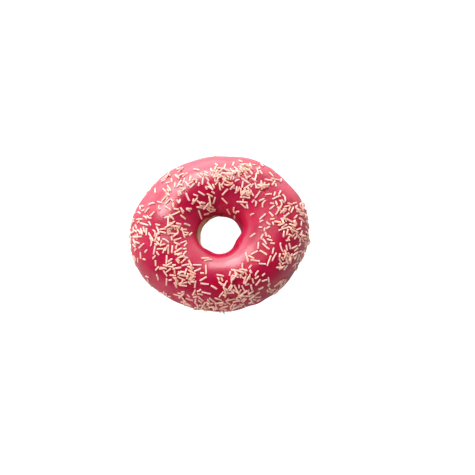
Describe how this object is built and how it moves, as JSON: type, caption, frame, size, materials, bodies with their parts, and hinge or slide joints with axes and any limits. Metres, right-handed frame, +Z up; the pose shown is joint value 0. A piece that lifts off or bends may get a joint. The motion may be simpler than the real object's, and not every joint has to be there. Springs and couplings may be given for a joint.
{
  "type": "sprinkle frosted doughnut",
  "caption": "Ring doughnut of fried dough, coated over its top half with glossy raspberry-red icing and scattered with cream sugar strands.",
  "frame": {"origin": "centre of the doughnut's footprint, on the surface it rests on", "axes": "+Z up along the hole, +X along the doughnut's slightly longer side"},
  "size_m": [0.0907, 0.0816, 0.0316],
  "materials": {
    "fried_dough": "matte",
    "icing": "gloss",
    "sugar_strands": "matte"
  },
  "bodies": {
    "root": {"dough": "fried_dough", "icing": "icing"}
  },
  "joints": []
}
